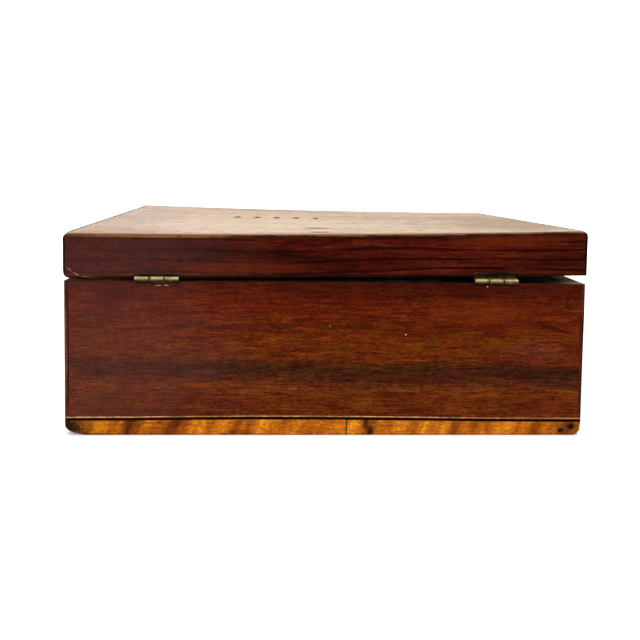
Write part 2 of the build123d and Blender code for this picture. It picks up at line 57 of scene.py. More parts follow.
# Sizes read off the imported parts
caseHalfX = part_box("base_band_front")[1].x
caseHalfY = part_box("base_band_left")[1].y
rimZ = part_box("rear_wall")[1].z
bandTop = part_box("base_band_front")[1].z
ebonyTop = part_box("ebony_string_rear")[1].z
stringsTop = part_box("boxwood_strings")[1].z
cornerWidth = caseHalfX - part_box("corner_string_rear_right")[0].x
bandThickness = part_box("base_band_front")[1].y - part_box("base_band_front")[0].y
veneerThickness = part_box("rear_veneer")[1].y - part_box("rear_veneer")[0].y
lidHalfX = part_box("lid_edge_string_front")[1].x
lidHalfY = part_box("lid_edge_string_rear")[1].y
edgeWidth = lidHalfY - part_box("lid_edge_string_rear")[0].y
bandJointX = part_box("base_band_rear_right")[0].x

# The lid's own heights above its underside, and how it has warped
lidShape = {
    "height": 32 * mm,
    "boardBottom": 23 * mm,
    "liningBottom": 22 * mm,
    "gap": 3.6 * mm,
    "twist": 2.3 * mm,
    "sag": 1.5 * mm,
}
lidTopZ = rimZ + lidShape["height"]


# Selecting and editing


def clearSelection():
    for item in bpy.context.selected_objects:
        item.select_set(False)
    bpy.context.view_layer.objects.active = None


def pick(item):
    clearSelection()
    item.select_set(True)
    bpy.context.view_layer.objects.active = item


def settle(item):
    # puts the place, turn and size into the mesh
    pick(item)
    bpy.ops.object.transform_apply(location=True, rotation=True, scale=True)


def openEdit(item, mode="VERT", action="DESELECT"):
    pick(item)
    bpy.ops.object.mode_set(mode="EDIT")
    bpy.ops.mesh.select_mode(type=mode)
    bpy.ops.mesh.select_all(action=action)
    return bmesh.from_edit_mesh(item.data)


def closeEdit():
    bpy.ops.object.mode_set(mode="OBJECT")


def chooseParts(item, parts, test):
    for part in parts:
        part.select_set(test(part))
    bmesh.update_edit_mesh(item.data)


def finishWith(item, kind, **settings):
    pick(item)
    step = item.modifiers.new(kind.title(), kind)
    for name, value in settings.items():
        setattr(step, name, value)
    bpy.ops.object.modifier_apply(modifier=step.name)


def addNew(name, operator, **settings):
    clearSelection()
    operator(**settings)
    item = bpy.context.active_object
    item.name = item.data.name = name
    return item


def addBlock(name, low, high):
    low, high = Vector(low), Vector(high)
    item = addNew(name, bpy.ops.mesh.primitive_cube_add, size=1, location=(low + high) / 2)
    item.scale = high - low
    settle(item)
    return item


def addRodAlongY(name, spot, radius, length):
    settings = {"vertices": 32, "radius": radius, "depth": length, "location": spot}
    item = addNew(name, bpy.ops.mesh.primitive_cylinder_add, rotation=(math.pi / 2, 0, 0), **settings)
    settle(item)
    return item


def copyObject(item, name):
    pick(item)
    bpy.ops.object.duplicate()
    copied = bpy.context.active_object
    copied.name = copied.data.name = name
    return copied


def divide(item, cuts=15):
    openEdit(item, action="SELECT")
    bpy.ops.mesh.subdivide(number_cuts=cuts)
    closeEdit()
    return item


def removeTool(item):
    bpy.data.objects.remove(item, do_unlink=True)


def cutWith(item, tool, operation="DIFFERENCE", keepTool=False):
    finishWith(item, "BOOLEAN", operation=operation, object=tool, solver="EXACT")
    if not keepTool:
        removeTool(tool)


def cutOff(item, start, way):
    # slices away what lies beyond a plane and closes the cut
    openEdit(item, action="SELECT")
    bpy.ops.mesh.bisect(plane_co=start, plane_no=way, use_fill=True, clear_outer=True)
    closeEdit()


def bevelWhere(item, test, width, steps=3):
    shape = openEdit(item, "EDGE")
    chooseParts(item, shape.edges, test)
    bpy.ops.mesh.bevel(offset=width, offset_type="OFFSET", segments=steps, affect="EDGES")
    closeEdit()


def copyPart(node, name):
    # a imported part's mesh as a piece of its own, with its doubles merged
    item = bpy.data.objects.new(name, frame["nodes"][node].data.copy())
    item.data.name = name
    bpy.context.scene.collection.objects.link(item)
    openEdit(item, action="SELECT")
    bpy.ops.mesh.remove_doubles(threshold=0.001 * mm)
    closeEdit()
    return item


# Worn outlines: every outside piece is left proud of its place and cleaned back to one of these

wornCase = {
    "cells": 23,
    "uprightRound": 1.0 * mm,
    "footRound": 0.8 * mm,
    "rimRound": 0.45 * mm,
    "waveDepth": 0.22 * mm,
    "waveSize": 0.03,
    # corner, then planes by how far they reach along its three edges, in mm
    "knocks": (
        ((1, 1, -1), ((15, 26, 2.9), (10, 18, 4.9), (5.8, 8, 6.5), (2.2, 3, 12))),
        ((-1, 1, -1), ((5.8, 8, 2.5), (3.8, 6, 5.7), (2.6, 5, 7.8), (1.5, 3, 15))),
        ((1, -1, -1), ((4, 4.5, 3.6), (7, 2.5, 2.2), (2.2, 7, 2.4))),
        ((-1, -1, -1), ((4.5, 4, 4), (8, 3, 2), (2.6, 8, 2.6))),
    ),
}
wornLid = dict(
    wornCase,
    uprightRound=1.4 * mm,
    footRound=0.5 * mm,
    rimRound=0.7 * mm,
    knocks=(
        ((1, 1, -1), ((3.9, 14, 3.3), (2.4, 12, 5), (1.2, 9, 8), (7, 9, 1.5))),
        ((1, 1, 1), ((2.9, 16, 2.4), (1.5, 12, 4.4), (5, 12, 1.2))),
        ((-1, 1, 1), ((2.6, 14, 3.1), (1.3, 10, 5.2), (4.6, 10, 1.3))),
        ((1, -1, 1), ((2.4, 2.6, 2.2), (5, 2, 1.2))),
        ((-1, -1, 1), ((2.6, 3, 2.6), (4, 1.8, 1.4))),
        ((-1, -1, -1), ((1.8, 2, 1.7),)),
        ((-1, 1, -1), ((1.1, 1.3, 1),)),
    ),
)


def isNear(a, b):
    return abs(a - b) < 0.01 * mm


def makeWornShape(name, halfX, halfY, lowZ, highZ, look):
    item = addBlock(name, (-halfX, -halfY, lowZ), (halfX, halfY, highZ))
    divide(item, look["cells"])

    def isUpright(edge):
        return all(isNear(abs(vert.co.x), halfX) and isNear(abs(vert.co.y), halfY) for vert in edge.verts)

    def isBorder(edge, level):
        flat = [face for face in edge.link_faces if abs(face.normal.z) > 0.9]
        return len(flat) == 1 and all(isNear(vert.co.z, level) for vert in edge.verts)

    bevelWhere(item, isUpright, look["uprightRound"])
    bevelWhere(item, lambda edge: isBorder(edge, lowZ), look["footRound"])
    bevelWhere(item, lambda edge: isBorder(edge, highZ), look["rimRound"])
    # worn corners go off plane by plane
    for (x, y, z), cuts in look["knocks"]:
        corner = Vector((x * halfX, y * halfY, lowZ if z < 0 else highZ))
        for a, b, c in cuts:
            cutOff(item, corner - Vector((x * a * mm, 0, 0)), Vector((x / a, y / b, z / c)).normalized())
    waves = bpy.data.textures.new(name + "Waves", "CLOUDS")
    waves.noise_scale = look["waveSize"]
    depth = look["waveDepth"]
    finishWith(item, "DISPLACE", texture=waves, texture_coords="LOCAL", mid_level=1.0, strength=depth)
    return item


caseOutline = makeWornShape("caseOutline", caseHalfX, caseHalfY, 0, rimZ, wornCase)
lidOutline = makeWornShape("lidOutline", lidHalfX, lidHalfY, rimZ, lidTopZ, wornLid)
print("worn outlines made")


# Cages: two warp the lid, and one lets the foot's inlay wander as it was laid by hand

footInlay = {
    # how far above its true line the inlay runs, in mm, from the left end to the right seen from the front
    "heights": (-0.4, -0.3, 0.1, 0.8, 1.2, 1.35, 0.95, 0.35, 0.1),
    "frontShare": 0.3,
    "middle": 11.5 * mm,
}


# Each lift below is for a point at x, y and z inside its cage, from -0.5 to 0.5


def twistLift(x, y, z):
    across, deep = 2 * x * lidHalfX / caseHalfX, 2 * y * lidHalfY / caseHalfY
    return lidShape["gap"] - lidShape["twist"] * across * deep


def sagLift(x, y, z):
    return -lidShape["sag"] * (1 - (2 * x) ** 2) if z > 0 else 0


def footLift(x, y, z):
    if abs(z) > 0.1:
        return 0
    heights = footInlay["heights"]
    height = heights[round((x + 0.5) * (len(heights) - 1))] * mm
    return height if y > 0 else height * footInlay["frontShare"]


def addCage(name, low, high, counts, lift):
    low, high = Vector(low), Vector(high)
    cage = addNew(name, bpy.ops.object.add, type="LATTICE", location=(low + high) / 2)
    cage.scale = high - low
    cage.data.points_u, cage.data.points_v, cage.data.points_w = counts
    for way in ("u", "v", "w"):
        setattr(cage.data, "interpolation_type_" + way, "KEY_LINEAR")
    for point in cage.data.points:
        point.co_deform.z = point.co.z + lift(*point.co) / cage.scale.z
    return cage


lidCorners = (-lidHalfX, -lidHalfY, rimZ), (lidHalfX, lidHalfY, lidTopZ)
sagCage = addCage("sagCage", *lidCorners, (13, 2, 2), sagLift)
twistCage = addCage("twistCage", *lidCorners, (2, 2, 2), twistLift)
footCage = addCage(
    "footCage",
    (-caseHalfX, -caseHalfY, 0),
    (caseHalfX, caseHalfY, 2 * footInlay["middle"]),
    (len(footInlay["heights"]), 2, 3),
    footLift,
)


def warp(item):
    # flatPlace keeps where each point was before
    flat = item.data.attributes.new("flatPlace", "FLOAT_VECTOR", "POINT")
    flat.data.foreach_set("vector", [value for vert in item.data.vertices for value in vert.co])
    finishWith(item, "LATTICE", object=sagCage)
    finishWith(item, "LATTICE", object=twistCage)


print("cages made")


# Material tools: every node goes into the tree that was opened last

bench = {}


def feed(sockets, **values):
    # a socket among the values is linked, anything else is set; _0 stands for the first socket
    for label, value in values.items():
        socket = sockets[int(label[1:]) if label[0] == "_" else label.replace("_", " ")]
        if isinstance(value, bpy.types.NodeSocket):
            bench["tree"].links.new(value, socket)
        else:
            socket.default_value = value


def put(kind, settings=None, **inputs):
    node = bench["tree"].nodes.new("ShaderNode" + kind)
    for name, value in (settings or {}).items():
        setattr(node, name, value)
    feed(node.inputs, **inputs)
    return node.outputs


def doMath(operation, a, b=0.0, clamp=False):
    return put("Math", {"operation": operation, "use_clamp": clamp}, _0=a, _1=b)[0]


def plus(a, b, clamp=False):
    return doMath("ADD", a, b, clamp)


def minus(a, b):
    return doMath("SUBTRACT", a, b)


def times(a, b):
    return doMath("MULTIPLY", a, b)


def over(a, b, clamp=False):
    return doMath("DIVIDE", a, b, clamp)


def swing(value, amount):
    # how far a value from 0 to 1 is from its middle
    return times(minus(value, 0.5), amount)


def doVector(operation, a, b=(0, 0, 0)):
    answer = "Value" if operation in ("LENGTH", "DOT_PRODUCT") else "Vector"
    return put("VectorMath", {"operation": operation}, _0=a, _1=b)[answer]


def apart(a, b):
    return doVector("SUBTRACT", a, b)


def stretch(vector, factors):
    return doVector("MULTIPLY", vector, factors)


def scaleBy(vector, factor):
    return put("VectorMath", {"operation": "SCALE"}, _0=vector, Scale=factor)["Vector"]


def noise(vector, scale=1.0, detail=3.0, rough=0.5):
    if isinstance(scale, tuple):
        vector, scale = stretch(vector, scale), 1.0
    return put("TexNoise", Vector=vector, Scale=scale, Detail=detail, Roughness=rough)[0]


def remap(value, low, high, toLow=0.0, toHigh=1.0, smooth=True):
    settings = {"interpolation_type": "SMOOTHSTEP" if smooth else "LINEAR"}
    return put("MapRange", settings, _0=value, _1=low, _2=high, _3=toLow, _4=toHigh)[0]


def linear(value):
    value /= 255
    return value / 12.92 if value < 0.04045 else ((value + 0.055) / 1.055) ** 2.4


def asColour(value):
    # colours are written as they look on the screen, red, green and blue from 0 to 255
    return value if isinstance(value, bpy.types.NodeSocket) else (*map(linear, value), 1)


def mixColour(factor, a, b, blend="MIX"):
    return put("Mix", {"data_type": "RGBA", "blend_type": blend}, _0=factor, _6=asColour(a), _7=asColour(b))[2]


def tint(colour, shade, mask, share=1.0, blend="MIX"):
    return mixColour(times(mask, share), colour, shade, blend)


def vary(colour, layer, span):
    # a layer makes the colour darker or lighter, between two shares of it
    return scaleBy(colour, remap(layer, 0.3, 0.7, *span, smooth=False))


def ramp(value, stops):
    answer = put("ValToRGB", Fac=value)[0]
    elements = answer.node.color_ramp.elements
    while len(elements) < len(stops):
        elements.new(0.5)
    for element, (at, *colour) in zip(elements, stops):
        element.position = at
        element.color = asColour(colour)
    return answer


# Shared effects


def newGroup(name, inputs, outputs):
    # inputs by name with their first values; each group starts from a place
    group = bpy.data.node_groups.new(name, "ShaderNodeTree")
    sockets = group.interface
    sockets.new_socket("Vector", in_out="INPUT", socket_type="NodeSocketVector")
    for label, value in inputs.items():
        kind = "NodeSocketFloat" if isinstance(value, float) else "NodeSocketVector"
        sockets.new_socket(label, in_out="INPUT", socket_type=kind).default_value = value
    for label in outputs:
        sockets.new_socket(label, in_out="OUTPUT", socket_type="NodeSocketFloat")
    bench["tree"] = group
    given = group.nodes.new("NodeGroupInput").outputs
    return given["Vector"], given, group.nodes.new("NodeGroupOutput").inputs


def useGroup(name, vector, **inputs):
    node = bench["tree"].nodes.new("ShaderNodeGroup")
    node.node_tree = bpy.data.node_groups[name]
    feed(node.inputs, Vector=vector, **inputs)
    return node.outputs


def fromLook(look, *names):
    # a look's own values, for the group inputs of the same names
    return {name.title(): look[name] for name in names}


def blotMask(spot, centre, size, ragged=0.3, grain=60.0):
    return useGroup("softPatch", spot, Centre=centre, Size=size, Ragged=ragged, Grain=grain)["Mask"]


grainLayers = {
    # how much shorter and narrower than a streak, detail, roughness
    "Streaks": (1.0, 1.0, 3.0, 0.6),
    "Fibres": (5.0, 2.2, 2.0, 0.6),
    "Pores": (9.0, 3.4, 1.0, 0.5),
    "Clouds": (0.25, 0.08, 3.0, 0.55),
    "Drift": (0.8, 0.3, 3.0, 0.6),
}


def makeFigureGroup():
    # grain that runs along X: streaks, short fibres, open pores, slow clouds, a drift of hue and cross mottle
    first = {"Length": 0.028, "Width": 0.0016, "Waviness": 0.003}
    spot, given, wanted = newGroup("woodFigure", first, (*grainLayers, "Mottle"))
    shift = swing(noise(spot, 14.0, 2.0), given["Waviness"])
    bent = doVector("ADD", spot, put("CombineXYZ", Y=shift, Z=shift)[0])
    along, across = over(1.0, given["Length"]), over(1.0, given["Width"])
    scaled = stretch(bent, put("CombineXYZ", X=along, Y=across, Z=across)[0])
    layers = {"Mottle": noise(spot, 150.0, 3.0, 0.6)}
    for layer, (shorter, narrower, detail, rough) in grainLayers.items():
        layers[layer] = noise(scaled, (shorter, narrower, narrower), detail, rough)
    layers["Pores"] = remap(layers["Pores"], 0.6, 0.7)
    feed(wanted, **layers)


def makeVeinGroup():
    # long dark lines that wander across a board, where growth rings were cut lengthwise
    first = {"Spacing": 0.011, "Wander": 0.02, "Thinness": 0.6}
    spot, given, wanted = newGroup("woodVeins", first, ("Veins",))
    slow = noise(spot, (6, 6, 22), 1.0)
    quick = noise(spot, (45, 45, 120), 2.0)
    drift = plus(minus(slow, 0.5), times(quick, 0.12))
    height = plus(put("SeparateXYZ", _0=spot)["Z"], times(drift, given["Wander"]))
    turns = times(over(height, given["Spacing"]), 2 * math.pi)
    line = remap(doMath("SINE", turns), given["Thinness"], 1.0)
    strength = remap(noise(spot, (16, 16, 60)), 0.34, 0.52)
    feed(wanted, Veins=times(line, strength))


def makePatchGroup():
    # a soft blot round a place: 1 in its middle, 0 outside
    first = {"Centre": (0, 0, 0), "Size": (0.05, 0.05, 0.05), "Ragged": 0.3, "Grain": 60.0}
    spot, given, wanted = newGroup("softPatch", first, ("Mask",))
    away = doVector("DIVIDE", apart(spot, given["Centre"]), given["Size"])
    rough = swing(noise(spot, given["Grain"], 3.0, 0.6), given["Ragged"])
    distance = plus(doVector("LENGTH", away), times(rough, 2.0))
    feed(wanted, Mask=remap(distance, 1.0, 0.25))


def makeMarkGroup():
    # a straight mark between two places, thinner at its ends
    first = {"Start": (0, 0, 0), "End": (0.01, 0, 0), "Width": 0.0005}
    spot, given, wanted = newGroup("thinMark", first, ("Mask",))
    line = apart(given["End"], given["Start"])
    away = apart(spot, given["Start"])
    reach, square = doVector("DOT_PRODUCT", away, line), doVector("DOT_PRODUCT", line, line)
    part = over(reach, square, clamp=True)
    distance = doVector("LENGTH", apart(away, scaleBy(line, part)))
    fromMiddle = swing(part, 2.0)
    taper = minus(1.15, times(fromMiddle, fromMiddle))
    feed(wanted, Mask=remap(over(distance, times(given["Width"], taper)), 1.0, 0.4))


def makeArrisGroup():
    # how near a point is to the arrises of a block: broken wear, and a fine even line that the woods use as
    # painted shade along the arrises
    first = {"Centre": (0, 0, 0), "Half": (0.1, 0.1, 0.1), "Width": 0.002, "Line": 0.0011}
    spot, given, wanted = newGroup("arrisWearAndShade", first, ("Wear", "Line"))
    away = doVector("ABSOLUTE", apart(spot, given["Centre"]))
    x, y, z = put("SeparateXYZ", _0=apart(given["Half"], away))
    pairs = [doMath("MAXIMUM", a, b) for a, b in ((x, y), (y, z), (x, z))]
    nearest = doMath("MINIMUM", doMath("MINIMUM", pairs[0], pairs[1]), pairs[2])
    patches = remap(noise(spot, 32.0, 4.0, 0.6), 0.35, 0.65)
    grain = noise(spot, 700.0, 2.0, 0.6)
    width = times(times(given["Width"], plus(patches, 0.3)), plus(grain, 0.5))
    wear = remap(over(nearest, doMath("MAXIMUM", width, 0.00001)), 1.0, 0.3)
    feed(wanted, Wear=wear, Line=remap(over(nearest, given["Line"]), 1.0, 0.4))


def makePolishGroup():
    # old polish: dull smears, dust in the pores and fine dents
    first = {"Pores": 0.0, "Fibres": 0.5, "Dullness": 0.4, "Spread": 0.2}
    spot, given, wanted = newGroup("oldPolish", first, ("Roughness", "Height"))
    smears = swing(noise(spot, 22.0, 4.0, 0.65), given["Spread"])
    dull = plus(given["Dullness"], times(smears, 2.0))
    dull = plus(dull, times(given["Pores"], 0.15), clamp=True)
    dents = remap(noise(spot, 60.0, 3.0), 0.3, 0.62)
    height = plus(dents, times(given["Fibres"], 0.3))
    feed(wanted, Roughness=dull, Height=minus(height, times(given["Pores"], 0.5)))


makeFigureGroup()
makeVeinGroup()
makePatchGroup()
makeMarkGroup()
makeArrisGroup()
makePolishGroup()
print("shared effects made")


def newMaterial(name):
    material = bpy.data.materials.new(name)
    material.use_nodes = True
    bench["tree"] = material.node_tree
    return material, material.node_tree.nodes["Principled BSDF"].inputs


def readPlace(flat=False):
    # the point's own place, or on the lid its place before the warp
    if flat:
        return put("Attribute", {"attribute_name": "flatPlace"})["Vector"]
    return put("TexCoord")["Object"]


def turnGrain(spot, degrees, seed):
    turn = (0, 0, math.radians(degrees))
    return put("Mapping", Vector=spot, Location=(seed, seed * 0.7, seed * 0.4), Rotation=turn)[0]


def bump(height, strength, distance):
    return put("Bump", Strength=strength, Distance=distance, Height=height)[0]


# Polished wood: what the looks below change

mahogany = {
    "length": 0.019,
    "width": 0.0016,
    "waviness": 0.003,
    "stops": ((0.3, 72, 24, 6), (0.5, 92, 33, 7), (0.7, 106, 43, 12)),
    # darkest and lightest each layer makes the wood
    "streaks": (0.54, 1.56),
    "fibres": (0.5, 1.58),
    "mottle": (0.82, 1.18),
    "poreColour": (30, 9, 4),
    "poreShare": 0.6,
    "veinShare": 0.0,
    "veinColour": (126, 92, 88),
    "veins": {"Spacing": 0.0078, "Wander": 0.018, "Thinness": 0.4},
    "blush": (238, 200, 255),
    "blushShare": 0.9,
    "dullness": 0.4,
    "spread": 0.12,
    "gloss": 0.02,
    "relief": 0.2,
}


def readZones(spot, turned, zones):
    # colour by height, in broad bands that lean and wander along the board
    x, y, z = put("SeparateXYZ", _0=spot)
    wander = swing(noise(turned, (10, 10, 30)), zones["wander"])
    height = plus(minus(z, times(x, zones["slope"])), wander)
    return ramp(remap(height, zones["low"], zones["high"], smooth=False), zones["stops"])


def startWood(name, look, flat, grain, seed):
    material, shader = newMaterial(name)
    spot = readPlace(flat)
    turned = turnGrain(spot, grain, seed)
    wood = useGroup("woodFigure", turned, **fromLook(look, "length", "width", "waviness"))
    return material, shader, spot, turned, wood


def finishWood(shader, look, spot, turned, wood, colour, arris):
    layers = {"Pores": wood["Pores"], "Fibres": wood["Fibres"]}
    finish = useGroup("oldPolish", turned, **layers, **fromLook(look, "dullness", "spread"))
    dull = finish["Roughness"]
    if arris:
        worn = useGroup("arrisWearAndShade", spot, **fromLook(arris, "centre", "half", "width", "line"))
        # the fine line is painted shade where the rounded arrises turn from the light; the broken wear is the
        # worn edge's own colour
        colour = tint(colour, arris["darkTone"], worn["Line"], arris["edgeShadeShare"])
        colour = tint(colour, arris["colour"], worn["Wear"], arris["share"])
        dull = doMath("MAXIMUM", dull, times(worn["Line"], arris["edgeShadeShare"]))
    feed(shader, Base_Color=colour, Roughness=dull, Specular_IOR_Level=look["gloss"])
    feed(shader, Normal=bump(finish["Height"], look["relief"], 0.0003))


def makeWood(name, look, flat=False, grain=0, seed=0.0, zones=None, blots=(), marks=(), arris=None):
    material, shader, spot, turned, wood = startWood(name, look, flat, grain, seed)
    colour = readZones(spot, turned, zones) if zones else ramp(wood["Clouds"], look["stops"])
    colour = tint(colour, look["blush"], remap(wood["Drift"], 0.4, 0.62), look["blushShare"], "MULTIPLY")
    for layer in ("Streaks", "Fibres", "Mottle"):
        colour = vary(colour, wood[layer], look[layer.lower()])
    if look["veinShare"]:
        veins = useGroup("woodVeins", turned, **look["veins"])["Veins"]
        colour = tint(colour, look["veinColour"], veins, look["veinShare"], "MULTIPLY")
    for centre, size, share, shade, *blend in blots:
        colour = tint(colour, shade, blotMask(spot, centre, size), share, *blend)
    colour = tint(colour, look["poreColour"], wood["Pores"], look["poreShare"])
    for start, end, width, shade in marks:
        mask = useGroup("thinMark", spot, Start=start, End=end, Width=width)["Mask"]
        colour = tint(colour, shade, mask)
    finishWood(shader, look, spot, turned, wood, colour, arris)
    return material


def blotsOnBack(y, rows):
    # each row: x and z of the middle and half size, in mm, then the rest as it is
    return [((x * mm, y, z * mm), [part * mm for part in size], *rest) for x, z, size, *rest in rows]


def marksOnBack(y, rows):
    # each row: x and z of one end and of the other and half width, in mm, then the colour
    return [
        ((x0 * mm, y, z0 * mm), (x1 * mm, y, z1 * mm), width * mm, shade)
        for x0, z0, x1, z1, width, shade in rows
    ]


# darkTone, at edgeShadeShare, is painted shade along the rounded arrises; colour, at share, is their wear
caseArris = {
    "centre": (0, 0, rimZ / 2),
    "half": (caseHalfX, caseHalfY, rimZ / 2),
    "width": 0.0014,
    "line": 0.0012,
    "share": 0.2,
    "colour": (124, 66, 36),
    "edgeShadeShare": 0.8,
    "darkTone": (24, 9, 5),
}
# the lid's line of painted shade is wider and darker
lidArris = dict(
    caseArris,
    centre=(0, 0, rimZ + lidShape["height"] / 2),
    half=(lidHalfX, lidHalfY, lidShape["height"] / 2),
    line=0.0024,
    share=0.12,
    colour=(112, 58, 30),
    edgeShadeShare=0.92,
    darkTone=(12, 5, 3),
)
plainWood = dict(
    mahogany,
    length=0.07, width=0.0032,
    stops=((0.3, 116, 88, 62), (0.5, 142, 112, 82), (0.7, 166, 138, 106)),
    streaks=(0.8, 1.2), fibres=(0.86, 1.14),
    poreColour=(92, 66, 44), poreShare=0.35, blushShare=0.15,
    dullness=0.72, spread=0.1, gloss=0.05, relief=0.4,
)
# painted shade: the black of the hinge notches, where little light reaches
hingeShade = {"share": 0.95, "colour": (14, 9, 6), "reach": (0.034, 0.030)}


def hingeSpan(side):
    low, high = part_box(side + "_hinge_body_leaf")
    return low.x, high.x


def makeHingeShade(z, height):
    # painted shade in the notches round both barrels, where the walls are cut back for the hinges
    blots = []
    for side in hingeSides:
        centre = (sum(hingeSpan(side)) / 2, caseHalfY, z)
        blots.append((centre, (*hingeShade["reach"], height), hingeShade["share"], hingeShade["colour"]))
    return blots


# the first three rows are painted shade, where the wall's rim lies in the lid's shadow; the last row is bare
# wood where it splintered
rimShadeAndSplinter = (
    (35, rimZ / mm, (230, 50, 10), 0.96, (18, 10, 6)),
    (-105, rimZ / mm, (98, 50, 10), 0.97, (18, 10, 6)),
    (-148, rimZ / mm, (34, 50, 10), 0.97, (18, 10, 6)),
    (117, 107.4, (13, 10, 2.5), 0.95, (240, 186, 112)),  # bare where it splintered
)
# painted light: the rim's end is paler where light comes in from the side under the lid
rimEndLight = ((-0.182, caseHalfY - 5 * mm, rimZ), (0.015, 0.006, 0.010), 0.85, (176, 168, 138))
# the rear core wall's colour: painted shade at the hinges and under the lid, painted light at the rim's end,
# and the bare splinter
rearShadeLightAndSplinter = [*makeHingeShade(rimZ, 0.003), *blotsOnBack(caseHalfY, rimShadeAndSplinter), rimEndLight]
# painted shade in the lid rail's notches above the barrels
lidHingeShade = makeHingeShade(rimZ + 5.5 * mm, 0.0075)
carcassAlong = makeWood("carcassWoodAlong", plainWood, seed=0.8)
carcassAcross = makeWood("carcassWoodAcross", plainWood, grain=90, seed=1.8)
carcassRear = makeWood("carcassWoodRear", plainWood, seed=2.6, blots=rearShadeLightAndSplinter)
carcassLidRear = makeWood("carcassWoodLidRear", plainWood, seed=3.7, blots=lidHingeShade)

brassLook = {
    "bright": (186, 166, 112),
    "dull": (132, 116, 74),
    # darkTone is the brass's own dirt
    "darkTone": (42, 36, 26),
    "scratchScale": (900, 120, 900),
}


def makeBrass(name, blots=()):
    material, shader = newMaterial(name)
    spot = readPlace()
    blotches = noise(spot, 260.0, 4.0, 0.6)
    colour = mixColour(remap(blotches, 0.35, 0.65), brassLook["dull"], brassLook["bright"])
    dirtAndShade = remap(noise(spot, 420.0, 4.0, 0.6), 0.52, 0.76)
    colour = tint(colour, brassLook["darkTone"], dirtAndShade, 0.6)
    # the blots are painted shade round the barrels, and they make the brass rougher and less metallic there,
    # as the dirt does
    for centre, size, share in blots:
        mask = times(blotMask(spot, centre, size, 0.25, 500.0), share)
        colour = tint(colour, hingeShade["colour"], mask)
        dirtAndShade = doMath("MAXIMUM", dirtAndShade, mask)
    scratches = noise(spot, brassLook["scratchScale"], 3.0, 0.6)
    dull = plus(plus(times(blotches, 0.3), 0.22), times(dirtAndShade, 0.25), clamp=True)
    metallic = remap(dirtAndShade, 0.0, 1.0, 1.0, 0.3)
    feed(shader, Base_Color=colour, Roughness=dull, Metallic=metallic, Specular_IOR_Level=0.05)
    feed(shader, Normal=bump(scratches, 0.3, 0.0002))
    return material


def makeIron():
    material, shader = newMaterial("dullIron")
    rust = noise(readPlace(), 600.0, 4.0, 0.65)
    feed(
        shader,
        Base_Color=mixColour(remap(rust, 0.45, 0.7), (70, 66, 62), (88, 52, 34)),
        Roughness=remap(rust, 0.3, 0.7, 0.4, 0.8),
        Metallic=remap(rust, 0.5, 0.7, 1.0, 0.2),
        Normal=bump(rust, 0.3, 0.0002),
    )
    return material


paperLook = {
    "base": (134, 144, 128),
    "faded": (154, 158, 138),
    "fibre": (190, 188, 168),
    "foxing": (120, 88, 54),
}


def makePaper():
    material, shader = newMaterial("liningPaper")
    spot = readPlace()
    fade = noise(spot, 9.0, 4.0, 0.6)
    colour = mixColour(remap(fade, 0.35, 0.65), paperLook["base"], paperLook["faded"])
    fibre = noise(spot, 1400.0, 2.0, 0.6)
    colour = tint(colour, paperLook["fibre"], remap(fibre, 0.5, 0.8), 0.35)
    spots = put("TexVoronoi", Vector=spot, Scale=70.0)["Distance"]
    spotted = times(remap(spots, 0.16, 0.05), remap(noise(spot, 26.0, 2.0), 0.5, 0.7))
    colour = tint(colour, paperLook["foxing"], spotted, 0.7)
    feed(shader, Base_Color=colour, Roughness=0.9, Specular_IOR_Level=0.2)
    feed(shader, Normal=bump(fibre, 0.25, 0.0002))
    return material


def makeBarrelShade():
    # painted shade: black in the seams between the knuckles, on the leaves behind them and under the barrels
    blots = []
    axis = sum(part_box("hinge_pins"), Vector()) / 2
    for side in hingeSides:
        x0, x1 = hingeSpan(side)
        middle = (x0 + x1) / 2
        for way in (-1, 1):
            seam = (middle + way * (x1 - x0) / 6, axis.y, axis.z)
            blots.append((seam, (0.0011, 0.006, 0.006), 0.95))
        blots.append(((middle, axis.y - 1.0 * mm, axis.z + 3.6 * mm), (0.040, 0.008, 0.0026), 1.0))
        blots.append(((middle, axis.y, axis.z - 2.6 * mm), (0.040, 0.008, 0.0016), 1.0))
    return blots


brass = makeBrass("agedBrass")
hingeBrass = makeBrass("hingeBrass", makeBarrelShade())
iron = makeIron()
paper = makePaper()
print("plain materials made")


def dress(item, material):
    item.data.materials.clear()
    item.data.materials.append(material)


def fitPiece(item, body, slot, material, *nodes):
    dress(item, material)
    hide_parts(*nodes)
    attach(item, body)


# Skins of the case

proud = 1.5 * mm  # how far a piece stands out before it is cleaned back
hingeCuts = {
    "below": 0.4 * mm,
    "above": 2.9 * mm,
    "sideRoom": 0.15 * mm,
    "depth": 4 * mm,
}


def cleanBack(item, outline):
    cutWith(item, outline, "INTERSECT", keepTool=True)
    if not item.data.vertices:
        raise RuntimeError("nothing left of " + item.name)
    pick(item)
    bpy.ops.object.shade_smooth_by_angle(angle=math.radians(35))


def fitCaseSkin(item, slot, material, *nodes):
    cleanBack(item, caseOutline)
    finishWith(item, "LATTICE", object=footCage)
    fitPiece(item, "case", slot, material, *nodes)


def sideBlock(name, side, halfX, halfY, inset, thickness, lowZ, highZ):
    # a block against one side: inset is how far it stops short of the corners
    if side in ("front", "rear"):
        xs, ys = (inset - halfX, halfX - inset), (halfY - thickness, halfY + proud)
    else:
        xs, ys = (halfX - thickness, halfX + proud), (inset - halfY, halfY - inset)
    if side in ("front", "left"):
        xs, ys = (-xs[1], -xs[0]), (-ys[1], -ys[0])
    return addBlock(name, (xs[0], ys[0], lowZ), (xs[1], ys[1], highZ))


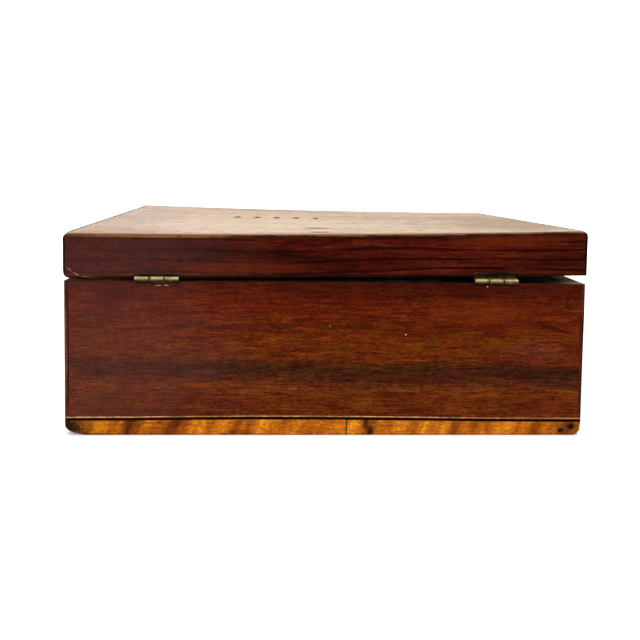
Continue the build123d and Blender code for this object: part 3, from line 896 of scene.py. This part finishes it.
def cutHingeNotches(item, halfY, highZ, lowZ=None):
    room, depth = hingeCuts["sideRoom"], hingeCuts["depth"]
    for side in hingeSides:
        x0, x1 = hingeSpan(side)
        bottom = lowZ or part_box(side + "_hinge_body_leaf")[0].z - hingeCuts["below"]
        tool = addBlock("notchTool", (x0 - room, halfY - depth, bottom), (x1 + room, halfY + depth, highZ))
        cutWith(item, tool)


# Splinters lost below one hinge, which show the core: middle x and z, length and height in mm, degrees
chips = (
    (0.1266, 0.1078, 2.6, 0.9, -14),
    (0.1192, 0.1072, 4.6, 0.8, 4),
    (0.1137, 0.1074, 3.9, 1.0, -6),
)


def cutChips(item):
    for x, z, length, height, degrees in chips:
        half = Vector((length / 2, 2, height / 2)) * mm
        tool = addBlock("chipTool", -half, half)
        rounding = 0.48 * height * mm
        bevelWhere(tool, lambda edge: abs(edge.verts[0].co.y - edge.verts[1].co.y) > mm, rounding, 1)
        tool.rotation_euler.y = math.radians(degrees)
        tool.location = (x, caseHalfY, z)
        settle(tool)
        cutWith(item, tool)


def cutKeyhole(item):
    # as wide as the escutcheon: a round top over a slot
    low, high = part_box("keyhole_escutcheon")
    middle = (low + high) / 2
    half = (high.x - low.x) / 2
    slotHalf = half * 0.63
    top = high.z - half
    reach = 4 * mm
    cutWith(item, addRodAlongY("keyholeTool", (middle.x, middle.y, top), half, 2 * reach))
    slotLow = (-slotHalf, middle.y - reach, low.z + 0.5 * mm)
    cutWith(item, addBlock("keyholeTool", slotLow, (slotHalf, middle.y + reach, top)))


caseZones = {
    "low": stringsTop,
    "high": rimZ,
    "slope": 0.019,
    "wander": 0.011,
    "stops": (
        (0.0, 96, 42, 9), (0.14, 97, 43, 10), (0.21, 102, 48, 12), (0.29, 74, 36, 13),
        (0.37, 62, 31, 12), (0.44, 96, 42, 8), (0.58, 97, 42, 5), (0.68, 88, 32, 4),
        (0.82, 90, 32, 4), (0.92, 70, 21, 4), (1.0, 60, 16, 4),
    ),
}
rearFace = {
    # middle and half size, share, colour, how it mixes
    "blots": blotsOnBack(caseHalfY, (
        # painted sheen: the rows that add blue-grey, and the greyer tone mixed in at the left end, stand in
        # for light reflected from the polish
        (175, 60, (130, 30, 130), 0.3, (94, 52, 36)),
        (155, 60, (125, 30, 120), 0.8, (6, 12, 22), "ADD"),
        (86, 46, (30, 30, 6), 0.8, (5, 10, 20), "ADD"),
        (93, 36.4, (14, 30, 2.8), 0.5, (152, 60, 14)),
        (152, 99, (22, 30, 14), 0.5, (190, 205, 215), "MULTIPLY"),
        (-151, 62.5, (30, 30, 12), 0.8, (4, 9, 17), "ADD"),
        (-168, 44.5, (50, 30, 7), 0.6, (196, 208, 230), "MULTIPLY"),
        (-115, 89, (60, 30, 12), 0.35, (116, 44, 6)),
    )),
    "marks": marksOnBack(caseHalfY, (
        (-72.9, 56.4, -70.0, 40.4, 0.4, (38, 11, 5)),
        (-70.0, 40.4, -66.7, 27.3, 0.3, (38, 11, 5)),
        (-153.4, 81.4, -180.5, 72.9, 0.6, (44, 14, 8)),
        (-55.9, 73.3, -56.7, 73.1, 0.6, (235, 228, 222)),
        (-113.8, 108.4, -114.1, 107.8, 0.6, (230, 222, 212)),
        (-1.4, 79.2, -2.6, 79.1, 0.4, (170, 140, 128)),
        (-72.5, 69.5, -73.3, 69.4, 0.4, (190, 126, 84)),
        (182.0, 14.0, 182.0, 109.0, 0.5, (34, 11, 7)),
        (-182.0, 14.0, -182.0, 109.0, 0.25, (34, 9, 5)),
    )),
}
leaning = dict(caseZones, slope=-0.03, wander=0.026)
level = dict(caseZones, slope=0.0, wander=0.03)
caseSides = {
    "rear": dict(rearFace, seed=0.31, zones=caseZones),
    "front": dict(seed=1.73, zones=leaning),
    "left": dict(seed=2.9, zones=level, grain=90),
    "right": dict(seed=4.1, zones=level, grain=90),
}


def makeCaseVeneers():
    for side in sideNames:
        name, top = side + "FaceVeneer", rimZ + proud
        item = sideBlock(name, side, caseHalfX, caseHalfY, cornerWidth, veneerThickness, stringsTop, top)
        if side == "rear":
            cutHingeNotches(item, caseHalfY, rimZ + mm)
            cutChips(item)
        if side == "front":
            cutKeyhole(item)
        wood = makeWood(side + "Mahogany", mahogany, arris=caseArris, **caseSides[side])
        fitCaseSkin(item, "mahogany", wood, side + "_veneer")


edgeLook = dict(mahogany, stops=((0.3, 56, 20, 9), (0.5, 76, 30, 12), (0.7, 96, 42, 18)), length=0.05)
# painted light and shade on the rear's rounded corners: a pale highlight at +X, with its wear, and black shade
# at -X
cornerHighlightAndShade = (
    (caseHalfX / mm, 58, (3, 4, 70), 0.5, (140, 96, 68)),
    (-caseHalfX / mm, 60, (2.4, 4, 80), 0.95, (16, 8, 5)),
)


def makeCornerStrings():
    cornerArris = dict(caseArris, edgeShadeShare=0.3)
    rubs = blotsOnBack(caseHalfY, cornerHighlightAndShade)
    material = makeWood("cornerString", edgeLook, seed=1.2, blots=rubs, arris=cornerArris)
    for y, end in ((-1, "front"), (1, "rear")):
        for x, side in ((-1, "left"), (1, "right")):
            xs = sorted((x * (caseHalfX - cornerWidth), x * (caseHalfX + proud)))
            ys = sorted((y * (caseHalfY - cornerWidth), y * (caseHalfY + proud)))
            name = end + side.title() + "CornerString"
            item = addBlock(name, (xs[0], ys[0], stringsTop), (xs[1], ys[1], rimZ + proud))
            fitCaseSkin(item, "edge_stringing", material, f"corner_string_{end}_{side}")


inlay = {
    "ebony": ((10, 6, 4), (26, 14, 8)),
    "boxwood": ((156, 98, 50), (222, 166, 100)),
}


def makeStringWood(name, seed):
    dark, light = inlay[name]
    stops = ((0.3, *dark), (0.7, *light))
    look = dict(mahogany, stops=stops, poreShare=0.3, blushShare=0.15, gloss=0.05)
    return makeWood(name, look, seed=seed)


def makeRing(name, lowZ, highZ):
    x, y = caseHalfX + proud, caseHalfY + proud
    outer = addBlock(name, (-x, -y, lowZ), (x, y, highZ))
    x, y = caseHalfX - veneerThickness, caseHalfY - veneerThickness
    cutWith(outer, addBlock("innerTool", (-x, -y, lowZ - mm), (x, y, highZ + mm)))
    return outer


def makeBaseStrings():
    ebony = makeRing("ebonyStrings", bandTop, ebonyTop)
    nodes = ["ebony_string_" + side for side in sideNames]
    fitCaseSkin(ebony, "ebony", makeStringWood("ebony", 0.2), *nodes)
    boxwood = makeRing("boxwoodStrings", ebonyTop, stringsTop)
    fitCaseSkin(boxwood, "boxwood", makeStringWood("boxwood", 0.6), "boxwood_strings")


bandLook = {
    "length": 0.02,
    "width": 0.0015,
    "waviness": 0.004,
    "curlSize": (95, 95, 16),  # cells in a metre
    "curlTilt": 24,  # degrees
    "curlShare": 0.75,
    "stops": ((0.28, 96, 40, 6), (0.41, 160, 80, 10), (0.54, 212, 119, 17), (0.7, 246, 160, 36)),
    "fleckSize": (420, 420, 640),
    "flecks": (0.66, 1.34),
    "fibres": (0.74, 1.26),
    "poreColour": (96, 44, 12),
    "poreShare": 0.35,
    "blotGrain": 220.0,
    "dullness": 0.4,
    "spread": 0.2,
    "gloss": 0.05,
    "relief": 0.25,
}
# the band's arrises are painted dark: wear, and painted shade along the foot
bandArris = dict(caseArris, width=0.0016, share=0.6, colour=(70, 38, 16), edgeShadeShare=0.0)
stain = (26, 16, 12)
jointLine = (bandJointX / mm, 5, (0.8, 10, 30), 0.85, (56, 28, 10), 0.0)
bandBlots = {
    # middle and half size, share, colour, how ragged
    "rear_right": (
        (187, 5, (30, 30, 18), 0.97, stain, 0.35),
        (164, 0, (17, 10, 2.2), 0.9, stain, 0.3),
        jointLine,
        (140.5, 6, (3.5, 10, 12), 0.5, (92, 44, 12), 0.3),
        (117.9, 8.9, (1.1, 10, 1.1), 0.9, (40, 20, 8), 0.2),
        # painted shade: a small chip in the foot, darkened with the stain colour rather than cut
        (72.5, 0.4, (5.2, 10, 1.4), 0.95, stain, 0.4),
    ),
    "rear_left": (
        (-174.5, 5.5, (13, 20, 12), 0.75, (96, 46, 12), 0.3),
        jointLine,
        (-29, 8.2, (3.8, 10, 6), 0.9, (70, 34, 12), 0.4),
        (-31.8, 2.8, (3.6, 10, 6), 0.95, (46, 22, 9), 0.4),
        (-170, 3.9, (3.6, 10, 2.1), 0.97, (18, 9, 5), 0.4),
        (-177.8, 6.6, (4.6, 10, 3.6), 0.98, (18, 9, 5), 0.4),
        (-93.2, 5.5, (6, 10, 12), 0.45, (104, 48, 10), 0.4),
        (-116.4, 5.5, (4.5, 10, 12), 0.4, (110, 54, 12), 0.4),
    ),
}
rightBandBlots = (((caseHalfX, 0.124, 0.006), (0.02, 0.02, 0.014), 0.93, stain, 0.25),)


def makeBandWood(side):
    look = bandLook
    seed, grain, blots = bandSides[side]
    name = "band" + side.title().replace("_", "") + "Wood"
    material, shader, spot, turned, wood = startWood(name, look, False, grain, seed)
    tilted = put("Mapping", Vector=turned, Rotation=(0, math.radians(look["curlTilt"]), 0))[0]
    curl = times(noise(tilted, look["curlSize"], 2.0), look["curlShare"])
    colour = ramp(plus(curl, times(wood["Streaks"], 1 - look["curlShare"])), look["stops"])
    colour = vary(colour, noise(turned, look["fleckSize"], 2.0), look["flecks"])
    colour = vary(colour, wood["Fibres"], look["fibres"])
    colour = tint(colour, look["poreColour"], wood["Pores"], look["poreShare"])
    for centre, size, share, shade, ragged in blots:
        colour = tint(colour, shade, blotMask(spot, centre, size, ragged, look["blotGrain"]), share)
    finishWood(shader, look, spot, turned, wood, colour, bandArris)
    return material


bandSides = {
    # seed, grain, blots
    "front": (1.9, 0, ()),
    "left": (2.7, 90, ()),
    "right": (3.4, 90, rightBandBlots),
    "rear_left": (0.4, 0, blotsOnBack(caseHalfY, bandBlots["rear_left"])),
    "rear_right": (5.3, 0, blotsOnBack(caseHalfY, bandBlots["rear_right"])),
}


def mitreEnds(item, side):
    # draws the inner corners in, so that the strips meet on the diagonal
    along = 0 if side in ("front", "rear") else 1
    half = (caseHalfX, caseHalfY)
    atEnd, inner = half[along] - proud, half[1 - along] - bandThickness / 2
    for end in (-1, 1):
        shape = openEdit(item)
        chooseParts(
            item,
            shape.verts,
            lambda vert: end * vert.co[along] > atEnd and abs(vert.co[1 - along]) < inner,
        )
        move = [0, 0, 0]
        move[along] = -end * (bandThickness + proud)
        bpy.ops.transform.translate(value=move)
        closeEdit()


def makeBaseBands():
    bands = {}
    for side in sideNames:
        name = side + "BaseBand"
        item = sideBlock(name, side, caseHalfX, caseHalfY, -proud, bandThickness, -proud, bandTop)
        mitreEnds(item, side)
        bands[side] = item
    rearLeft = bands.pop("rear")
    rearLeft.name = "rearLeftBaseBand"
    rearRight = copyObject(rearLeft, "rearRightBaseBand")
    seam = 0.08 * mm
    for item, way in ((rearLeft, 1), (rearRight, -1)):
        cutOff(item, (bandJointX - way * seam, 0, 0), (way, 0, 0))
    bands["rear_left"], bands["rear_right"] = rearLeft, rearRight
    for side, item in bands.items():
        fitCaseSkin(item, "satinwood", makeBandWood(side), "base_band_" + side)


coreWoods = {"front": carcassAlong, "rear": carcassRear, "left": carcassAcross, "right": carcassAcross}


def makeWornWalls():
    # the core walls follow the same worn outline as the veneers over them
    for side in sideNames:
        item = copyPart(side + "_wall", side + "CoreWall")
        cleanBack(item, caseOutline)
        fitPiece(item, "case", "carcass_wood", coreWoods[side], side + "_wall")


makeCaseVeneers()
makeCornerStrings()
makeBaseStrings()
makeBaseBands()
makeWornWalls()
print("case made")


# Skins of the lid

lidMahogany = dict(
    mahogany,
    length=0.034,
    width=0.0018,
    stops=((0.3, 52, 12, 3), (0.5, 70, 19, 5), (0.7, 90, 32, 7)),
    streaks=(0.56, 1.52),
    veinShare=0.85,
)

# Heights and ends of the lid in mm, for the tables below
middle, endX = (rimZ + lidShape["height"] / 2) / mm, lidHalfX / mm
foot, head = rimZ / mm - 20, lidTopZ / mm + 20
stringLine = (lidTopZ - 1.25 * edgeWidth) / mm
lidRear = {
    "blots": blotsOnBack(lidHalfY, (
        # painted sheen: the greyer tone at this end and the blue-grey added over it stand in for light
        # reflected from the polish
        (165, middle, (150, 30, 60), 0.42, (78, 42, 34)),
        (150, middle, (120, 30, 50), 0.7, (9, 16, 20), "ADD"),
        (-20, middle + 3, (90, 30, 24), 0.65, (214, 176, 196), "MULTIPLY"),
        (-130, middle + 11, (60, 30, 7), 0.5, (104, 38, 6)),
        (60, middle - 8, (60, 30, 6), 0.4, (100, 36, 8)),
    )),
    "marks": marksOnBack(lidHalfY, (
        # painted shade: dark lines down both ends, where the rounded corners turn from the light
        (0.5 - endX, foot, 0.5 - endX, head, 2.1, (8, 4, 3)),
        (endX - 0.4, foot, endX - 0.4, head, 1.9, (10, 6, 6)),
        (-195, stringLine, 195, stringLine, 0.4, (24, 9, 5)),
        (182.3, 118.7, 178.7, 115.2, 0.36, (150, 106, 78)),
        (178.7, 115.2, 173.2, 112.3, 0.34, (160, 114, 84)),
        (173.5, 112.2, 157.5, 110.5, 0.45, (214, 166, 122)),
    )),
}
lidSides = {
    "rear": dict(lidRear, seed=0.77),
    "front": dict(seed=3.3),
    "left": dict(seed=5.2, grain=90),
    "right": dict(seed=6.4, grain=90),
}


def fitLidSkin(item, slot, material, node):
    cleanBack(item, lidOutline)
    warp(item)
    fitPiece(item, "lid", slot, material, node)


def addLidStrip(kind, side, thickness, lowZ, highZ):
    inset = -proud if side in ("front", "rear") else thickness
    name = "lid" + side.title() + kind
    return divide(sideBlock(name, side, lidHalfX, lidHalfY, inset, thickness, lowZ, highZ))


def makeLidSides():
    for side in sideNames:
        item = addLidStrip("Veneer", side, veneerThickness, rimZ - proud, lidTopZ - edgeWidth)
        if side == "rear":
            cutHingeNotches(item, lidHalfY, rimZ + hingeCuts["above"], rimZ - proud - mm)
        name = "lid" + side.title() + "Mahogany"
        wood = makeWood(name, lidMahogany, True, arris=lidArris, **lidSides[side])
        fitLidSkin(item, "mahogany", wood, f"lid_{side}_veneer")


lidEdge = {
    "look": dict(mahogany, stops=((0.3, 34, 13, 6), (0.5, 48, 20, 9), (0.7, 66, 30, 13)), length=0.05),
    "arris": dict(lidArris, width=0.0017, share=0.6, colour=(150, 104, 66), edgeShadeShare=0.0),
    # worn, rubbed patches along the lid's edge string
    "rubs": (
        (125, lidTopZ / mm, (90, 12, 5), 0.8, (140, 92, 56)),
        (0, lidTopZ / mm, (110, 12, 2), 0.35, (120, 70, 38)),
    ),
}


def makeLidEdges():
    rubs = blotsOnBack(lidHalfY, lidEdge["rubs"])
    material = makeWood(
        "edgeString", lidEdge["look"], True, seed=0.9, blots=rubs, arris=lidEdge["arris"]
    )
    for side in sideNames:
        item = addLidStrip("EdgeString", side, edgeWidth, lidTopZ - edgeWidth, lidTopZ + proud)
        fitLidSkin(item, "edge_stringing", material, f"lid_edge_string_{side}")


# the top's pale colour is part fading and part painted sheen: the light it reflects when seen low is put into
# its colour, and its gloss is kept low
fadedAndSheenTop = dict(
    mahogany,
    length=0.07, width=0.006, waviness=0.006,
    stops=((0.3, 158, 134, 110), (0.5, 179, 158, 135), (0.7, 193, 174, 154)),
    streaks=(0.85, 1.15), fibres=(0.76, 1.26), mottle=(0.9, 1.1),
    poreColour=(96, 58, 34), poreShare=0.45, blushShare=0.15,
    dullness=0.6, spread=0.14, gloss=0.03, relief=0.12,
)
topArris = dict(lidArris, width=0.003, share=0.5, colour=(140, 92, 52), edgeShadeShare=0.0)
topBlots = (
    # centre, half size, share, colour
    # painted light and shade: the first row makes the middle lighter, the third the -X end darker and the
    # fifth the front edge darker
    ((0.06, 0.03, lidTopZ), (0.11, 0.10, 0.03), 0.5, (188, 163, 137)),
    ((0.165, 0.0, lidTopZ), (0.05, 0.16, 0.03), 0.6, (168, 147, 136)),
    ((-0.165, 0.04, lidTopZ), (0.08, 0.15, 0.03), 0.65, (152, 128, 106)),
    ((0.0, 0.122, lidTopZ), (0.20, 0.007, 0.03), 0.5, (172, 126, 84)),
    ((0.0, -0.128, lidTopZ), (0.25, 0.016, 0.03), 0.7, (130, 100, 78)),
    ((0.155, 0.110, lidTopZ), (0.05, 0.040, 0.03), 0.5, (156, 124, 100)),
    ((0.006, 0.1125, lidTopZ), (0.012, 0.0045, 0.01), 0.95, (64, 36, 18)),
    ((0.005, 0.082, lidTopZ), (0.014, 0.008, 0.01), 0.7, (108, 72, 42)),
)
# Five small lozenges inlaid in the top, worn nearly away
topInlay = {
    "count": 5,
    "firstX": 0.0028,
    "pitch": 0.0181,
    "y": -0.016,
    "halfWidth": 0.0042,
    "halfDepth": 0.010,
    "colour": (44, 24, 14),
    "share": 0.95,
}


def addLozenges(spot, colour):
    look = topInlay
    worn = remap(noise(spot, 260.0, 3.0, 0.6), 0.3, 0.5)
    for number in range(look["count"]):
        centre = (look["firstX"] + number * look["pitch"], look["y"], lidTopZ)
        x, y, z = put("SeparateXYZ", _0=doVector("ABSOLUTE", apart(spot, centre)))
        away = plus(over(x, look["halfWidth"]), over(y, look["halfDepth"]))
        colour = tint(colour, look["colour"], times(remap(away, 1.05, 0.95), worn), look["share"])
    return colour


def makeTopMaterial():
    material = makeWood("fadedAndSheenTop", fadedAndSheenTop, True, seed=0.5, blots=topBlots, arris=topArris)
    shader = material.node_tree.nodes["Principled BSDF"].inputs
    feed(shader, Base_Color=addLozenges(readPlace(True), shader["Base Color"].links[0].from_socket))
    return material


def makeLidTop():
    x, y, joint = lidHalfX - edgeWidth, lidHalfY - edgeWidth, lidTopZ - veneerThickness
    veneer = divide(addBlock("lidTopVeneer", (-x, -y, joint), (x, y, lidTopZ + proud)))
    fitLidSkin(veneer, "lid_top_mahogany", makeTopMaterial(), "lid_top_veneer")
    x, y = x - 0.1 * mm, y - 0.1 * mm
    board = divide(addBlock("lidBoard", (-x, -y, rimZ + lidShape["boardBottom"]), (x, y, joint)))
    fitLidSkin(board, "carcass_wood", carcassAlong, "lid_board")


def makeWornRails():
    # the rails are already warped, so they are cleaned back to a warped copy of the outline
    warpedOutline = copyObject(lidOutline, "warpedOutline")
    warp(warpedOutline)
    for side in sideNames:
        item = copyPart(f"lid_{side}_rail", "lid" + side.title() + "Rail")
        cleanBack(item, warpedOutline)
        wood = carcassLidRear if side == "rear" else coreWoods[side]
        fitPiece(item, "lid", "carcass_wood", wood, f"lid_{side}_rail")
    removeTool(warpedOutline)


def makeLidLining():
    low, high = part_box("lid_lining")
    lowZ, highZ = rimZ + lidShape["liningBottom"], rimZ + lidShape["boardBottom"]
    item = divide(addBlock("lidLining", (low.x, low.y, lowZ), (high.x, high.y, highZ)))
    warp(item)
    fitPiece(item, "lid", "lining_paper", paper, "lid_lining")


makeLidSides()
makeLidEdges()
makeLidTop()
makeWornRails()
makeLidLining()
for tool in (caseOutline, lidOutline, twistCage, sagCage, footCage):
    removeTool(tool)
print("lid made")

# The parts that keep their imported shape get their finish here

finishes = {"carcass_wood": carcassAlong, "brass": brass, "iron": iron, "lining_paper": paper}
slotOf = {part["node"]: part["material_slot"] for part in frame["record"]["subparts"]}


def dressParts():
    for name, item in frame["nodes"].items():
        if not item.hide_render:
            isHinge = "hinge" in name and slotOf[name] == "brass"
            dress(item, hingeBrass if isHinge else finishes[slotOf[name]])


dressParts()
print("packed parts dressed")

# Floor, light and camera

studio = {
    "floorSize": 12.0,
    "floorColour": (244, 244, 244),
    "floorMirrored": (70, 70, 70),
    "floorGlow": 0.3,
    "glowFrom": 0.35,
    "glowFull": 1.2,
    "skyColour": (1.0, 1.0, 1.0, 1),
    "skyShown": 1.05,
    "skyLight": 0.3,
}


def makeFloor():
    place = (0, 0, -0.2 * mm)
    floor = addNew("paleFloor", bpy.ops.mesh.primitive_plane_add, size=studio["floorSize"], location=place)
    material, shader = newMaterial("paleFloor")
    rays = put("LightPath")
    colour = mixColour(rays["Is Glossy Ray"], studio["floorColour"], studio["floorMirrored"])
    # the floor glows a little, and more away from the box, so that it meets the sky without a line
    away = remap(doVector("LENGTH", readPlace()), studio["glowFrom"], studio["glowFull"])
    glow = doMath("MAXIMUM", times(rays["Is Camera Ray"], studio["floorGlow"]), away)
    feed(shader, Base_Color=colour, Roughness=0.85, Specular_IOR_Level=0.1)
    feed(shader, Emission_Strength=glow, Emission_Color=(1, 1, 1, 1))
    dress(floor, material)


def makeSky():
    world = bpy.data.worlds.new("studioSky")
    bpy.context.scene.world = world
    world.use_nodes = True
    bench["tree"] = world.node_tree
    seen = put("LightPath")["Is Camera Ray"]
    strength = remap(seen, 0.0, 1.0, studio["skyLight"], studio["skyShown"], smooth=False)
    feed(world.node_tree.nodes["Background"].inputs, Color=studio["skyColour"], Strength=strength)


def addLamp(name, spot, aim, size, power):
    lamp = addNew(name, bpy.ops.object.light_add, type="AREA", location=spot)
    lamp.data.shape = "RECTANGLE"
    lamp.data.size, lamp.data.size_y = size
    lamp.data.energy = power
    way = Vector(aim) - Vector(spot)
    lamp.rotation_euler = way.to_track_quat("-Z", "Y").to_euler()


lamps = (
    # name, place, aim, size, watts
    ("overheadLamp", (0.0, 0.1, 2.0), (0, 0, 0), (2.4, 2.4), 50),
    ("rearLeftLamp", (1.2, 1.6, 1.5), (0, 0.1, 0.05), (1.2, 1.2), 5),
    ("rearRightLamp", (-1.2, 1.6, 1.5), (0, 0.1, 0.05), (1.2, 1.2), 4),
    ("rearPanel", (0.1, 2.4, 0.8), (0, 0.1, 0.08), (2.4, 1.0), 8),
    ("frontLamp", (0.5, -1.7, 1.5), (0, 0, 0.05), (1.4, 1.2), 14),
    ("lowFrontPanel", (0.0, -2.4, 0.6), (0, 0, 0.2), (4.0, 1.1), 11),
)

photoCamera = {
    "place": (29.2 * mm, 565.3 * mm, 189.9 * mm),
    "turn": (86.96, -0.709, 178.378),  # degrees
    "sensor": 36,
    "lens": 35.14,
    "shift": (0.0228, -0.1834),
}


def makeCamera():
    turn = [math.radians(value) for value in photoCamera["turn"]]
    camera = addNew("photoCamera", bpy.ops.object.camera_add, location=photoCamera["place"], rotation=turn)
    camera.data.sensor_width = photoCamera["sensor"]
    camera.data.lens = photoCamera["lens"]
    camera.data.shift_x, camera.data.shift_y = photoCamera["shift"]
    camera.data.clip_start = 10 * mm
    bpy.context.scene.camera = camera


makeFloor()
makeSky()
for lamp in lamps:
    addLamp(*lamp)
makeCamera()
bpy.context.scene.view_settings.view_transform = "Standard"
print("studio made")
